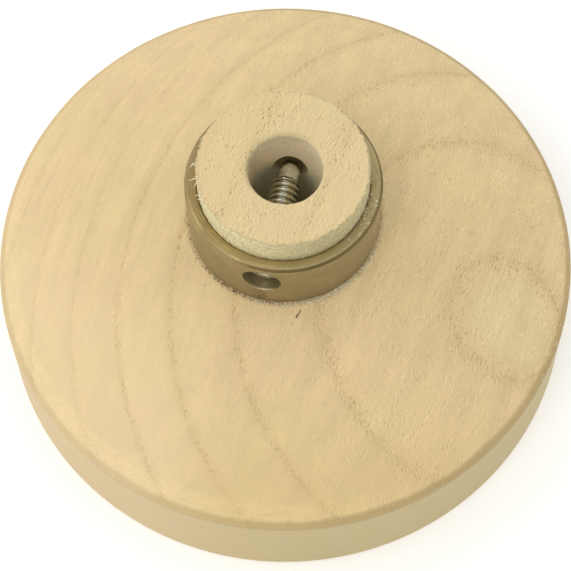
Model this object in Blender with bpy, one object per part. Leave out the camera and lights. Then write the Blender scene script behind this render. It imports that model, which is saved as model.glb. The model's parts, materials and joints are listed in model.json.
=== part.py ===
"""Wooden carving disc for a powered spindle: a turned disc with a hub on its back,
a brass collar pressed round the hub, and a dog point set screw that grips the spindle.

Units are metres. +Z runs along the spindle axis, from the front (working) face to the
hub, and the origin is the centre of the front face, on which the disc rests.
Angles round the axis are measured from -Y, the side on which the set screw enters.
"""
import math

import bmesh
import bpy
from mathutils import Matrix, Vector

MM = 0.001

# Disc: 5 inch blank with a domed back and a side that narrows a little towards the back.
DISC_RADIUS = 63.5 * MM
BACK_RADIUS = 62.1 * MM
DOME_TOP_Z = 43.5 * MM          # height that the dome would reach on the axis
DOME_RISE = 20.0 * MM           # how far the dome falls from the axis to DISC_RADIUS
BACK_EDGE_RADIUS = 1.6 * MM
FRONT_EDGE_RADIUS = 1.5 * MM
DISC_SEGMENTS = 96

# Hub: turned in one piece with the disc, sawn off flat at its end.
HUB_RADIUS = 17.15 * MM
HUB_TOP_Z = 63.2 * MM
HUB_EDGE = 0.35 * MM
SEAT_RADIUS = 20.4 * MM         # flat seat that the collar stands on
SEAT_Z = 41.4 * MM

# Bore: 14.6 mm, a free fit for a 14 mm spindle, and blind, so that the front face stays whole.
BORE_RADIUS = 7.3 * MM
BORE_FLOOR_Z = 10.0 * MM
BORE_CHAMFER = 0.9 * MM

# Collar: brass tube round the hub.
FIT_GAP = 0.3 * MM
COLLAR_INNER_RADIUS = HUB_RADIUS + FIT_GAP
COLLAR_OUTER_RADIUS = 19.75 * MM
COLLAR_BOTTOM_Z = SEAT_Z + FIT_GAP
COLLAR_TOP_Z = 56.8 * MM
COLLAR_OUTER_CHAMFER = 0.7 * MM
COLLAR_INNER_CHAMFER = 0.25 * MM
COLLAR_SEGMENTS = 72
COLLAR_HOLE_RADIUS = 3.9 * MM
COLLAR_HOLE_CHAMFER = 0.25 * MM

# Cross hole: drilled from outside through the front wall of the hub and on into the back wall.
CROSS_ANGLE = math.radians(-14.0)
CROSS_Z = 51.2 * MM
CROSS_RADIUS = 3.5 * MM
CROSS_END = 12.6 * MM           # distance past the axis at which the drill stopped
CROSS_SEGMENTS = 24
DRILL_POINT_LENGTH = 1.6 * MM

# Set screw: 1/4-20, hexagon socket, dog point.
SCREW_MAJOR_RADIUS = 3.175 * MM
SCREW_ROOT_RADIUS = 2.45 * MM
SCREW_PITCH = 1.27 * MM
SCREW_LENGTH = 24.6 * MM
SCREW_TIP = 7.0 * MM            # distance of the point past the axis, as assembled
DOG_RADIUS = 1.98 * MM
DOG_LENGTH = 4.2 * MM
DOG_EDGE = 0.7 * MM
SOCKET_ACROSS_FLATS = 3.175 * MM
SOCKET_DEPTH = 3.2 * MM
SCREW_SEGMENTS = 24
THREAD_ROWS = 4                 # root start, root end, crest start, crest end
THREAD_ROW_PHASES = (0.0, 0.14, 0.5, 0.64)

# Colours of the bare materials: colour, roughness, metallic.
WOOD = ((0.71, 0.57, 0.36), 0.62, 0.0)
BRASS = ((0.30, 0.225, 0.095), 0.38, 1.0)
STEEL = ((0.20, 0.195, 0.175), 0.36, 1.0)


def clear_scene():
    for old in list(bpy.data.objects):
        bpy.data.objects.remove(old, do_unlink=True)


def make_material(name, finish):
    colour, roughness, metallic = finish
    material = bpy.data.materials.new(name)
    material.use_nodes = True
    shader = material.node_tree.nodes["Principled BSDF"]
    shader.inputs["Base Color"].default_value = (*colour, 1.0)
    shader.inputs["Roughness"].default_value = roughness
    shader.inputs["Metallic"].default_value = metallic
    return material


def add_object(name, bm, material, smooth_angle=35.0):
    """Turn a bmesh into a named object with its material, smooth except at its real edges."""
    mesh = bpy.data.meshes.new(name)
    bm.to_mesh(mesh)
    bm.free()
    mesh.materials.append(material)
    mesh.shade_smooth()
    mesh.set_sharp_from_angle(angle=math.radians(smooth_angle))
    piece = bpy.data.objects.new(name, mesh)
    bpy.context.scene.collection.objects.link(piece)
    return piece


def quarter_round(centre_r, centre_z, radius, start, end, steps):
    """Points of an arc in the (r, z) half plane, angles in degrees from the +r direction."""
    points = []
    for step in range(steps + 1):
        angle = math.radians(start + (end - start) * step / steps)
        points.append((centre_r + radius * math.cos(angle), centre_z + radius * math.sin(angle)))
    return points


def spin_profile(points, segments, closed):
    """Turn (r, z) points round Z into one closed solid."""
    bm = bmesh.new()
    verts = [bm.verts.new((r, 0.0, z)) for r, z in points]
    edges = [bm.edges.new(pair) for pair in zip(verts, verts[1:])]
    if closed:
        edges.append(bm.edges.new((verts[-1], verts[0])))
    bmesh.ops.spin(bm, geom=verts + edges, cent=(0, 0, 0), axis=(0, 0, 1), dvec=(0, 0, 0),
                   angle=math.tau, steps=segments, use_merge=True, use_duplicate=False)
    bmesh.ops.remove_doubles(bm, verts=bm.verts, dist=1e-6)
    bmesh.ops.recalc_face_normals(bm, faces=bm.faces)
    return bm


def dome_z(radius):
    return DOME_TOP_Z - DOME_RISE * (radius / DISC_RADIUS) ** 2


def disc_profile():
    """Half section of the disc and hub, from the bore's floor round to the front face's centre."""
    points = [
        (0.0, BORE_FLOOR_Z),
        (BORE_RADIUS, BORE_FLOOR_Z),
        (BORE_RADIUS, HUB_TOP_Z - BORE_CHAMFER),
        (BORE_RADIUS + BORE_CHAMFER, HUB_TOP_Z),
        (HUB_RADIUS - HUB_EDGE, HUB_TOP_Z),
        (HUB_RADIUS, HUB_TOP_Z - HUB_EDGE),
        (HUB_RADIUS, SEAT_Z),
        (SEAT_RADIUS, SEAT_Z),
    ]
    slope = math.atan(2 * DOME_RISE * BACK_RADIUS / DISC_RADIUS ** 2)
    dome_start = SEAT_RADIUS + 0.8 * MM
    dome_end = BACK_RADIUS - BACK_EDGE_RADIUS * (1 - math.sin(slope))
    dome_steps = 9
    for step in range(dome_steps):
        radius = dome_start + (dome_end - dome_start) * step / dome_steps
        points.append((radius, dome_z(radius)))
    edge_z = dome_z(dome_end) - BACK_EDGE_RADIUS * math.cos(slope)
    points += quarter_round(BACK_RADIUS - BACK_EDGE_RADIUS, edge_z, BACK_EDGE_RADIUS,
                            90 - math.degrees(slope), 0, 4)
    points += quarter_round(DISC_RADIUS - FRONT_EDGE_RADIUS, FRONT_EDGE_RADIUS,
                            FRONT_EDGE_RADIUS, 0, -90, 3)
    points.append((0.0, 0.0))
    return points


def collar_profile():
    """Closed section of the collar, its outer side running from top to bottom."""
    return [
        (COLLAR_INNER_RADIUS + COLLAR_INNER_CHAMFER, COLLAR_TOP_Z),
        (COLLAR_OUTER_RADIUS - COLLAR_OUTER_CHAMFER, COLLAR_TOP_Z),
        (COLLAR_OUTER_RADIUS, COLLAR_TOP_Z - COLLAR_OUTER_CHAMFER),
        (COLLAR_OUTER_RADIUS, COLLAR_BOTTOM_Z + COLLAR_INNER_CHAMFER),
        (COLLAR_OUTER_RADIUS - COLLAR_INNER_CHAMFER, COLLAR_BOTTOM_Z),
        (COLLAR_INNER_RADIUS + COLLAR_INNER_CHAMFER, COLLAR_BOTTOM_Z),
        (COLLAR_INNER_RADIUS, COLLAR_BOTTOM_Z + COLLAR_INNER_CHAMFER),
        (COLLAR_INNER_RADIUS, COLLAR_TOP_Z - COLLAR_INNER_CHAMFER),
    ]


def cross_axis_matrix():
    """Places a piece whose own +Z points inwards along the cross hole, its origin on the spindle axis."""
    inward = Vector((-math.sin(CROSS_ANGLE), math.cos(CROSS_ANGLE), 0.0))
    turn = Vector((0, 0, 1)).rotation_difference(inward).to_matrix().to_4x4()
    return Matrix.Translation((0.0, 0.0, CROSS_Z)) @ turn


def add_cutter(name, points):
    """A turned cutter on the cross hole's axis; it never shows and is not a part."""
    cutter = add_object(name, spin_profile(points, CROSS_SEGMENTS, closed=False),
                        bpy.data.materials.new(name))
    cutter.matrix_world = cross_axis_matrix()
    cutter.hide_render = True
    cutter.display_type = "WIRE"
    return cutter


def cut(piece, cutter):
    boolean = piece.modifiers.new("cross_hole", "BOOLEAN")
    boolean.operation = "DIFFERENCE"
    boolean.solver = "EXACT"
    boolean.object = cutter


def build_disc():
    disc = add_object("disc_with_hub", spin_profile(disc_profile(), DISC_SEGMENTS, closed=False),
                      make_material("maple", WOOD))
    outside = -(COLLAR_OUTER_RADIUS + 2 * MM)
    cut(disc, add_cutter("cross_hole_drill", [
        (0.0, CROSS_END + DRILL_POINT_LENGTH),
        (CROSS_RADIUS, CROSS_END),
        (CROSS_RADIUS, outside),
        (0.0, outside),
    ]))
    return disc


def build_collar():
    collar = add_object("collar", spin_profile(collar_profile(), COLLAR_SEGMENTS, closed=True),
                        make_material("brass", BRASS))
    outside = -(COLLAR_OUTER_RADIUS + 1 * MM)
    face = -COLLAR_OUTER_RADIUS
    cut(collar, add_cutter("collar_hole_drill", [
        (0.0, -HUB_RADIUS + 2 * MM),
        (COLLAR_HOLE_RADIUS, -HUB_RADIUS + 2 * MM),
        (COLLAR_HOLE_RADIUS, face + COLLAR_HOLE_CHAMFER + 0.4 * MM),
        (COLLAR_HOLE_RADIUS + COLLAR_HOLE_CHAMFER, face + 0.4 * MM),
        (COLLAR_HOLE_RADIUS + COLLAR_HOLE_CHAMFER, outside),
        (0.0, outside),
    ]))
    return collar


def ring(bm, radius, z, phase_shift=0.0):
    """A horizontal ring of vertices; a function for the radius makes it a polygon."""
    verts = []
    for index in range(SCREW_SEGMENTS):
        angle = math.tau * (index / SCREW_SEGMENTS) + phase_shift
        r = radius(angle) if callable(radius) else radius
        verts.append(bm.verts.new((r * math.cos(angle), r * math.sin(angle), z)))
    return verts


def join_rings(bm, lower, upper):
    """Quads between two rings, facing outwards when the second is higher."""
    count = len(lower)
    for index in range(count):
        after = (index + 1) % count
        bm.faces.new((lower[index], lower[after], upper[after], upper[index]))


def hexagon_radius(angle):
    """Distance to the side of the socket's hexagon at an angle."""
    sixth = math.tau / 6
    return SOCKET_ACROSS_FLATS / 2 / math.cos((angle % sixth) - sixth / 2)


def thread_strip(bm, start_z, end_z):
    """A helical strip of vertices between two heights, its crest fading in and out at the ends.

    Row k of the strip rises by one pitch in each turn, so its last point is the first point of
    row k + THREAD_ROWS. Returns the strip as rows of SCREW_SEGMENTS + 1 vertices.
    """
    turns = int((end_z - start_z) / SCREW_PITCH) - 1
    row_count = turns * THREAD_ROWS + 1
    depth = SCREW_MAJOR_RADIUS - SCREW_ROOT_RADIUS
    columns = []
    for index in range(SCREW_SEGMENTS):
        column = []
        for row in range(row_count):
            lap, kind = divmod(row, THREAD_ROWS)
            lead = lap + THREAD_ROW_PHASES[kind] + index / SCREW_SEGMENTS
            fade = min(1.0, lead, turns + 1 - lead)
            crest = depth * fade if kind >= 2 else 0.0
            angle = math.tau * index / SCREW_SEGMENTS
            r = SCREW_ROOT_RADIUS + crest
            column.append(bm.verts.new((r * math.cos(angle), r * math.sin(angle),
                                        start_z + lead * SCREW_PITCH)))
        columns.append(column)
    return columns, turns


def close_strip(bm, columns, turns, lower_ring, upper_ring):
    """Faces of the strip, its seam, and the fans that join it to the rings at its two ends."""
    count = SCREW_SEGMENTS
    rows = turns * THREAD_ROWS + 1
    for index in range(count - 1):
        here = columns[index]
        there = columns[index + 1]
        bm.faces.new((lower_ring[index], lower_ring[index + 1], there[0], here[0]))
        for row in range(rows - 1):
            bm.faces.new((here[row], there[row], there[row + 1], here[row + 1]))
        bm.faces.new((here[-1], there[-1], upper_ring[index + 1], upper_ring[index]))
    last = columns[-1]
    first = columns[0]
    bm.faces.new((lower_ring[-1], lower_ring[0], last[0]))
    bm.faces.new((lower_ring[0], first[0], last[0]))
    for row in range(THREAD_ROWS):
        bm.faces.new((last[0], first[row], first[row + 1]))
    for row in range(rows - 1 - THREAD_ROWS):
        bm.faces.new((last[row], first[row + THREAD_ROWS], first[row + THREAD_ROWS + 1],
                      last[row + 1]))
    top = rows - 1
    for row in range(top - THREAD_ROWS, top):
        bm.faces.new((last[row], first[top], last[row + 1]))
    bm.faces.new((last[top], first[top], upper_ring[0]))
    bm.faces.new((last[top], upper_ring[0], upper_ring[-1]))


def build_screw():
    """Set screw along its own Z: socket end at the outside, dog point inwards."""
    bm = bmesh.new()
    head_z = SCREW_TIP - SCREW_LENGTH
    thread_start = head_z + 0.75 * MM
    thread_end = SCREW_TIP - DOG_LENGTH - 0.3 * MM
    socket_floor = ring(bm, hexagon_radius, head_z + SOCKET_DEPTH)
    socket_mouth = ring(bm, hexagon_radius, head_z)
    head_face = ring(bm, SCREW_ROOT_RADIUS - 0.1 * MM, head_z)
    head_edge = ring(bm, SCREW_ROOT_RADIUS, head_z + 0.1 * MM)
    socket_point = bm.verts.new((0.0, 0.0, head_z + SOCKET_DEPTH + 0.5 * MM))
    for index in range(SCREW_SEGMENTS):
        after = (index + 1) % SCREW_SEGMENTS
        bm.faces.new((socket_floor[after], socket_floor[index], socket_point))
    join_rings(bm, socket_floor, socket_mouth)
    join_rings(bm, socket_mouth, head_face)
    join_rings(bm, head_face, head_edge)
    columns, turns = thread_strip(bm, thread_start, thread_end)
    neck = ring(bm, SCREW_ROOT_RADIUS, thread_end + 0.1 * MM)
    close_strip(bm, columns, turns, head_edge, neck)
    lower = neck
    dog = [(DOG_RADIUS, SCREW_TIP - DOG_LENGTH + 0.3 * MM)]
    dog += quarter_round(DOG_RADIUS - DOG_EDGE, SCREW_TIP - DOG_EDGE, DOG_EDGE, 0, 80, 4)
    for radius, z in dog:
        upper = ring(bm, radius, z)
        join_rings(bm, lower, upper)
        lower = upper
    tip = bm.verts.new((0.0, 0.0, SCREW_TIP))
    for index in range(SCREW_SEGMENTS):
        bm.faces.new((lower[index], lower[(index + 1) % SCREW_SEGMENTS], tip))
    bmesh.ops.recalc_face_normals(bm, faces=bm.faces)
    screw = add_object("set_screw", bm, make_material("steel", STEEL))
    screw.matrix_world = cross_axis_matrix()
    return screw


def main():
    clear_scene()
    frame = bpy.data.objects.new("spindle_axis", None)
    bpy.context.scene.collection.objects.link(frame)
    for piece in (build_disc(), build_collar(), build_screw()):
        piece.parent = frame


main()
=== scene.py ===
"""Looks of a turned wooden disc with a brass collared hub and a set screw.

Lengths below are in millimetres unless they say otherwise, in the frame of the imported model:
+Z runs up the spindle, and the set screw comes in from -Y, a little towards -X.
"""

import json
import math

import bmesh
import bpy
import numpy as np
from mathutils import Matrix, Vector


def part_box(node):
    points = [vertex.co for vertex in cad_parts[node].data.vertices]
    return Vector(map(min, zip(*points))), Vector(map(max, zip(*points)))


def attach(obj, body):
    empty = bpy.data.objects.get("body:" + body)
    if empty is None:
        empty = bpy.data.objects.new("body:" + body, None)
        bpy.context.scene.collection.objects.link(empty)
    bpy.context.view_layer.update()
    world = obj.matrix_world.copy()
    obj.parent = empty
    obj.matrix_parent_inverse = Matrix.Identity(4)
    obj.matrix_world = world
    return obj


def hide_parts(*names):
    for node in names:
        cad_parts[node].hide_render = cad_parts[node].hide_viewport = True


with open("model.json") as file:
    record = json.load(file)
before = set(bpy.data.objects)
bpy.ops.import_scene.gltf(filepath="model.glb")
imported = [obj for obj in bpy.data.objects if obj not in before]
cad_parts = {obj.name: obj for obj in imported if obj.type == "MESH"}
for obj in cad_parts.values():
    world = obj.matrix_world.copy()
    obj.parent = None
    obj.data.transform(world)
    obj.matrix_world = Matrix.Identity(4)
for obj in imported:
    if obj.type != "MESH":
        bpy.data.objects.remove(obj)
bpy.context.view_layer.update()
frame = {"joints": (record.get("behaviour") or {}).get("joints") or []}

MM = 0.001
TAU = 2 * math.pi

disc_low, disc_high = (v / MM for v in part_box("disc_with_hub"))
collar_low, collar_high = (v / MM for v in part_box("collar"))
INWARD = -Vector(frame["joints"][0]["axis"]).normalized()

DISC_RADIUS = disc_high.x
HUB_TOP = disc_high.z
COLLAR_RADIUS = collar_high.x
COLLAR_FOOT = collar_low.z
COLLAR_TOP = collar_high.z

# The disc, its hub and its bore.
DOME_TOP = 43.5
DOME_RISE = 20.0
BACK_RADIUS = 62.1
BACK_EDGE = 1.6
FRONT_EDGE = 1.5
HUB_RADIUS = 17.15
SEAT_RADIUS = 20.4
SEAT_Z = 41.4
BORE_RADIUS = 7.3
BORE_OFFSET = (0.45, -0.7)
BORE_FLOOR = 10.0
MOUTH_ROUND = 0.55

# The collar, and the cross hole that the screw runs in.
COLLAR_BORE = 17.2
COLLAR_CHAMFER = 0.55
COLLAR_HOLE = 3.9
CROSS_Z = 51.2
CROSS_RADIUS = 3.5
CROSS_END = 12.6
DRILL_POINT = 1.6

# The set screw. Its tip is measured inwards from the spindle axis.
SCREW_TIP = 7.0
SCREW_LENGTH = 24.6
SCREW_RADIUS = 2.95
SCREW_ROOT = 2.25
PITCH = 1.27
DOG_RADIUS = 2.10
DOG_LENGTH = 4.2
DOG_EDGE = 1.0
SOCKET_FLATS = 3.175
SOCKET_DEPTH = 3.2

# The grain runs this far round from +X.
GRAIN_ANGLE = math.radians(67)

# Where the domed back rounds over into the side.
EDGE_SLOPE = math.atan(2 * DOME_RISE * BACK_RADIUS / DISC_RADIUS**2)
DOME_END = BACK_RADIUS - BACK_EDGE * (1 - math.sin(EDGE_SLOPE))
EDGE_Z = DOME_TOP - DOME_RISE * (DOME_END / DISC_RADIUS) ** 2 - BACK_EDGE * math.cos(EDGE_SLOPE)

# Growth layers: their thickness, their number on the axis at the top of the dome, how fast the
# number changes with x and y, their gentle warp, the small extra change up in the hub, and the
# dip that makes the innermost closed curve.
LAYER_THICKNESS = 8.7
LAYER_AT_AXIS = 2.609
LAYER_TILT = (-0.0569, 0.0245)
LAYER_WARP_SQUARE = (0.000057, -0.000098, -0.000020)
LAYER_WARP_CUBIC = (0.80e-6, 0.37e-6, -1.41e-6, -1.56e-6)
HUB_LAYER_SHIFT = 0.2
LAYER_HEART = (49.5, -20.3)
LAYER_DIP = 0.484
LAYER_DIP_SQUARE = 288.0

# Points round the turned shapes.
SEGMENTS = 384
COLLAR_SEGMENTS = 320
HOLE_SEGMENTS = 96
CROSS_HOLE_SEGMENTS = 120
SCREW_SEGMENTS = 72

# Cells of the mesh noise before it repeats, and no shift at all for a material's pattern.
LATTICE = 32
NOWHERE = (0.0, 0.0, 0.0)


# ---------------------------------------------------------------- numbers


class SmoothNoise:
    """Value noise on a seeded lattice, from -1 to 1."""

    def __init__(self, seed):
        self.lattice = np.random.default_rng(seed).uniform(-1, 1, (LATTICE, LATTICE, LATTICE))

    def __call__(self, x, y, z=0.0):
        p = np.stack(np.broadcast_arrays(x, y, z)).astype(float)
        cell = np.floor(p).astype(int)
        t = p - cell
        t = t * t * (3 - 2 * t)
        total = 0.0
        for corner in range(8):
            step = [(corner >> k) & 1 for k in range(3)]
            i, j, k = ((cell[a] + step[a]) % LATTICE for a in range(3))
            weight = 1.0
            for a in range(3):
                weight = weight * (t[a] if step[a] else 1 - t[a])
            total = total + weight * self.lattice[i, j, k]
        return total


def smoothstep(low, high, x):
    """0 at low and 1 at high, with a soft change between them. Low may be the greater."""
    t = np.clip((x - low) / (high - low), 0, 1)
    return t * t * (3 - 2 * t)


def dome_z(r):
    """Height of the domed back at a radius."""
    return DOME_TOP - DOME_RISE * (r / DISC_RADIUS) ** 2


# ---------------------------------------------------------------- meshes


def add_object(name, mesh, material, sharp_degrees):
    """A smooth shaded object whose edges stay sharp above an angle."""
    mesh.materials.clear()
    mesh.materials.append(material)
    mesh.shade_smooth()
    mesh.set_sharp_from_angle(angle=math.radians(sharp_degrees))
    piece = bpy.data.objects.new(name, mesh)
    bpy.context.scene.collection.objects.link(piece)
    return piece


def mesh_from(name, verts, faces):
    """A mesh from points in millimetres."""
    mesh = bpy.data.meshes.new(name)
    mesh.from_pydata((np.asarray(verts, float).reshape(-1, 3) * MM).tolist(), [], faces)
    mesh.update()
    return mesh


def stacked_rings(radius, height, turn):
    """Rings of points about Z, one for each height, as an array of rings x turns x 3."""
    x = radius * np.cos(turn)
    y = radius * np.sin(turn)
    return np.stack([x, y, np.broadcast_to(height[:, None], x.shape)], 2)


def lathe(profile, segments=SEGMENTS):
    """Round rings, one for each (radius, height) of the profile."""
    profile = np.asarray(profile, float)
    return stacked_rings(profile[:, :1], profile[:, 1], np.arange(segments) / segments * TAU)


def ring_faces(rings, segments, closed=False):
    """Quads between neighbouring rings, and between the last and the first if closed."""
    faces = []
    last = rings if closed else rings - 1
    for i in range(last):
        a = i * segments
        b = (i + 1) % rings * segments
        for j in range(segments):
            k = (j + 1) % segments
            faces.append((a + j, a + k, b + k, b + j))
    return faces


def capped(rings_of_points):
    """(points, faces) of a surface of rings, with a centre point closing its first and last ring."""
    rings, segments = rings_of_points.shape[:2]
    verts = np.concatenate(
        [
            rings_of_points.reshape(-1, 3),
            [rings_of_points[0].mean(0)],
            [rings_of_points[-1].mean(0)],
        ]
    )
    faces = ring_faces(rings, segments)
    first, last = rings * segments, rings * segments + 1
    base = (rings - 1) * segments
    for j in range(segments):
        k = (j + 1) % segments
        faces.append((k, j, first))
        faces.append((base + j, base + k, last))
    return verts, faces


def outward(mesh):
    """Makes every face of a closed mesh point out."""
    bm = bmesh.new()
    bm.from_mesh(mesh)
    bmesh.ops.recalc_face_normals(bm, faces=bm.faces)
    bm.to_mesh(mesh)
    bm.free()
    return mesh


def cut(mesh, cutters):
    """The mesh with closed cutter meshes taken out of it."""
    body = bpy.data.objects.new("cut_body", mesh)
    bpy.context.scene.collection.objects.link(body)
    tools = []
    for cutter in cutters:
        tool = bpy.data.objects.new("cut_tool", cutter)
        bpy.context.scene.collection.objects.link(tool)
        tools.append(tool)
        modifier = body.modifiers.new("cut", "BOOLEAN")
        modifier.object = tool
        modifier.operation = "DIFFERENCE"
        modifier.solver = "EXACT"
    depsgraph = bpy.context.evaluated_depsgraph_get()
    result = bpy.data.meshes.new_from_object(body.evaluated_get(depsgraph))
    for tool in tools:
        bpy.data.objects.remove(tool)
    bpy.data.objects.remove(body)
    return result


def along_screw(points):
    """Places points whose z runs inwards along the screw's axis, from the spindle axis."""
    side = Vector((0, 0, 1)).cross(INWARD).normalized()
    up = INWARD.cross(side)
    turn = np.array([side, up, INWARD]).T
    return np.asarray(points, float).reshape(-1, 3) @ turn.T + np.array([0, 0, CROSS_Z])


# ---------------------------------------------------------------- wooden disc


def ridged_cutter():
    """The drilled cross hole, with the thread's shallow ridges in its wall."""
    start = -HUB_RADIUS - 1.2
    along = np.arange(start, CROSS_END, 0.14)
    turn = np.arange(CROSS_HOLE_SEGMENTS) / CROSS_HOLE_SEGMENTS * TAU
    phase = (along[:, None] / PITCH - turn / TAU) % 1
    ridge = np.clip(1.6 - 4 * np.abs(phase - 0.5), 0, 1)
    chips = SmoothNoise(13)
    ragged = chips(np.cos(turn) * 5, np.sin(turn) * 5, 0.7)
    ragged = ragged + 2 * chips(np.cos(turn) * 13, np.sin(turn) * 13, 2.7)
    radius = CROSS_RADIUS - 0.08 * ridge + 0.07 * ragged
    verts, faces = capped(stacked_rings(radius, along, turn))
    verts[-1, 2] += DRILL_POINT
    return outward(mesh_from("cross_hole", along_screw(verts), faces))


def hub_tube():
    """The hub above its seat as a closed tube, torn and fuzzy where the saw and the lathe left it."""
    rough = SmoothNoise(11)
    fine = SmoothNoise(12)
    top = HUB_TOP - 0.03
    wall = [(HUB_RADIUS, z) for z in np.linspace(SEAT_Z, COLLAR_TOP - 0.6, 9)]
    wall += [(HUB_RADIUS, z) for z in np.arange(COLLAR_TOP - 0.3, top - 0.4, 0.33)]
    edge = [
        (HUB_RADIUS - 0.28 * (1 - math.cos(a)), top - 0.28 * (1 - math.sin(a)))
        for a in np.linspace(0, math.pi / 2, 5)
    ]
    face = [(r, top) for r in np.arange(HUB_RADIUS - 0.6, BORE_RADIUS + MOUTH_ROUND + 0.1, -0.33)]
    mouth = [
        (BORE_RADIUS + MOUTH_ROUND * (1 - math.sin(a)), top - MOUTH_ROUND * (1 - math.cos(a)))
        for a in np.linspace(0, math.pi / 2, 7)
    ]
    bore = [(BORE_RADIUS, z) for z in np.arange(top - 1.3, CROSS_Z - 5.5, -0.5)]
    bore += [(BORE_RADIUS, z) for z in np.linspace(CROSS_Z - 6.2, SEAT_Z, 6)]
    profile = np.array(wall + edge + face + mouth + bore)
    points = lathe(profile)
    radius = np.hypot(points[..., 0], points[..., 1])
    turn = np.arctan2(points[..., 1], points[..., 0])
    cos_t, sin_t = np.cos(turn), np.sin(turn)
    z = points[..., 2].copy()

    # The top: ridges of lifted grain, never above the hub's stated height.
    u = points[..., 0] * math.cos(GRAIN_ANGLE) + points[..., 1] * math.sin(GRAIN_ANGLE)
    v = points[..., 1] * math.cos(GRAIN_ANGLE) - points[..., 0] * math.sin(GRAIN_ANGLE)
    grain = 0.5 + 0.5 * rough(u / 2.6, v / 0.62)
    nap = 0.5 + 0.5 * fine(u / 0.9 + 7, v / 0.36 + 3)
    on_top = smoothstep(top - 0.9, top - 0.1, z)
    z -= on_top * (0.10 * grain + 0.09 * nap)

    # The outer wall: torn fibres, deepest just under the edge, all inwards.
    outer = smoothstep(HUB_RADIUS - 0.7, HUB_RADIUS - 0.1, radius)
    torn = 0.5 + 0.5 * rough(turn * 9.5, z / 1.6, 5.0)
    thread = 0.5 + 0.5 * fine(turn * 31, z / 0.7, 2.0)
    near_edge = smoothstep(top - 1.6, top - 0.1, z)
    inset = outer * (0.06 * torn + 0.16 * thread**2 + near_edge * (0.34 * torn**2 + 0.22 * thread))

    # The mouth of the bore is worn wider on one side.
    mouth_wear = smoothstep(top - 1.2, top, z) * smoothstep(BORE_RADIUS + 1.6, BORE_RADIUS, radius)
    chipped = rough(turn * 6, z / 2, 1.0) + fine(turn * 19, z / 1.5, 4.0)
    widen = mouth_wear * (0.25 * (0.5 - 0.5 * cos_t) + 0.08 * chipped)
    bore_wave = smoothstep(BORE_RADIUS + 0.1, BORE_RADIUS - 0.1, radius)
    ream = bore_wave * 0.02 * (1 + rough(turn * 4, z / 2.0, 9.0))
    radius = radius - inset + widen + ream

    # The foot stays true, to meet the rest of the disc.
    foot = z < SEAT_Z + 0.01
    is_wall = profile[:, :1] > (HUB_RADIUS + BORE_RADIUS) / 2
    radius[foot & is_wall] = HUB_RADIUS
    radius[foot & ~is_wall] = BORE_RADIUS

    # The bore was drilled a little off the hub's centre.
    near_bore = smoothstep(BORE_RADIUS + 4.5, BORE_RADIUS + 1.2, radius)
    near_bore = near_bore * smoothstep(SEAT_Z + 2, CROSS_Z + 4, z)
    shift_x, shift_y = (offset * near_bore for offset in BORE_OFFSET)
    points = np.stack([radius * cos_t + shift_x, radius * sin_t + shift_y, z], 2)
    faces = ring_faces(len(profile), SEGMENTS, closed=True)
    return outward(mesh_from("hub_tube", points, faces))


def wood_mesh():
    """The whole disc: the drilled hub, its dome, rim and flat front face, and the floor of its bore."""
    hub = cut(hub_tube(), [ridged_cutter()])
    wave = SmoothNoise(21)

    back = [(HUB_RADIUS, SEAT_Z), (19.0, SEAT_Z), (20.2, SEAT_Z), (SEAT_RADIUS, dome_z(SEAT_RADIUS))]
    back += [(r, dome_z(r)) for r in np.arange(SEAT_RADIUS + 0.5, DOME_END - 0.2, 0.62)]
    shoulder = [
        (BACK_RADIUS - BACK_EDGE * (1 - math.cos(a)), EDGE_Z + BACK_EDGE * math.sin(a))
        for a in np.linspace(math.pi / 2 - EDGE_SLOPE, 0, 12)
    ]
    side = [
        (BACK_RADIUS + (DISC_RADIUS - BACK_RADIUS) * t, EDGE_Z + (FRONT_EDGE - EDGE_Z) * t)
        for t in np.linspace(0.04, 0.97, 18)
    ]
    front_edge = [
        (DISC_RADIUS - FRONT_EDGE * (1 - math.cos(a)), FRONT_EDGE * (1 - math.sin(a)))
        for a in np.linspace(0, math.pi / 2, 8)
    ]
    front = [(r, 0.0) for r in np.arange(DISC_RADIUS - FRONT_EDGE - 1.5, 1.0, -2.0)]
    profile = np.array(back + shoulder + side + front_edge + front)
    points = lathe(profile)
    radius = np.hypot(points[..., 0], points[..., 1])
    free = smoothstep(SEAT_RADIUS, SEAT_RADIUS + 6, radius) * (points[..., 2] > 5)
    sag = free * 0.05 * (0.5 + 0.5 * wave(*(points[..., a] / 11 for a in range(3))))
    scale = np.where(radius > 1, 1 - sag / np.maximum(radius, 1), 1)
    points[..., :2] *= scale[..., None]
    points[..., 2] -= sag * smoothstep(8, 24, points[..., 2])
    verts, faces = capped(points)
    body = mesh_from("body", verts, [f for f in faces if len(verts) - 2 not in f])

    well = [(BORE_RADIUS, z) for z in np.arange(SEAT_Z, BORE_FLOOR + 0.9, -1.2)]
    well += [(BORE_RADIUS, BORE_FLOOR + 0.4), (BORE_RADIUS - 0.4, BORE_FLOOR), (4.0, BORE_FLOOR)]
    verts, faces = capped(lathe(well))
    floor = mesh_from("well", verts, [f for f in faces if len(verts) - 2 not in f])

    bm = bmesh.new()
    bm.from_mesh(hub)
    seat = [f for f in bm.faces if all(v.co.z < (SEAT_Z + 0.02) * MM for v in f.verts)]
    bmesh.ops.delete(bm, geom=seat, context="FACES")
    bm.from_mesh(body)
    bm.from_mesh(floor)
    bmesh.ops.remove_doubles(bm, verts=bm.verts, dist=0.004 * MM)
    bmesh.ops.recalc_face_normals(bm, faces=bm.faces)
    mesh = bpy.data.meshes.new("wood_disc")
    bm.to_mesh(mesh)
    bm.free()
    return mesh


# ---------------------------------------------------------------- collar and screw


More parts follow.
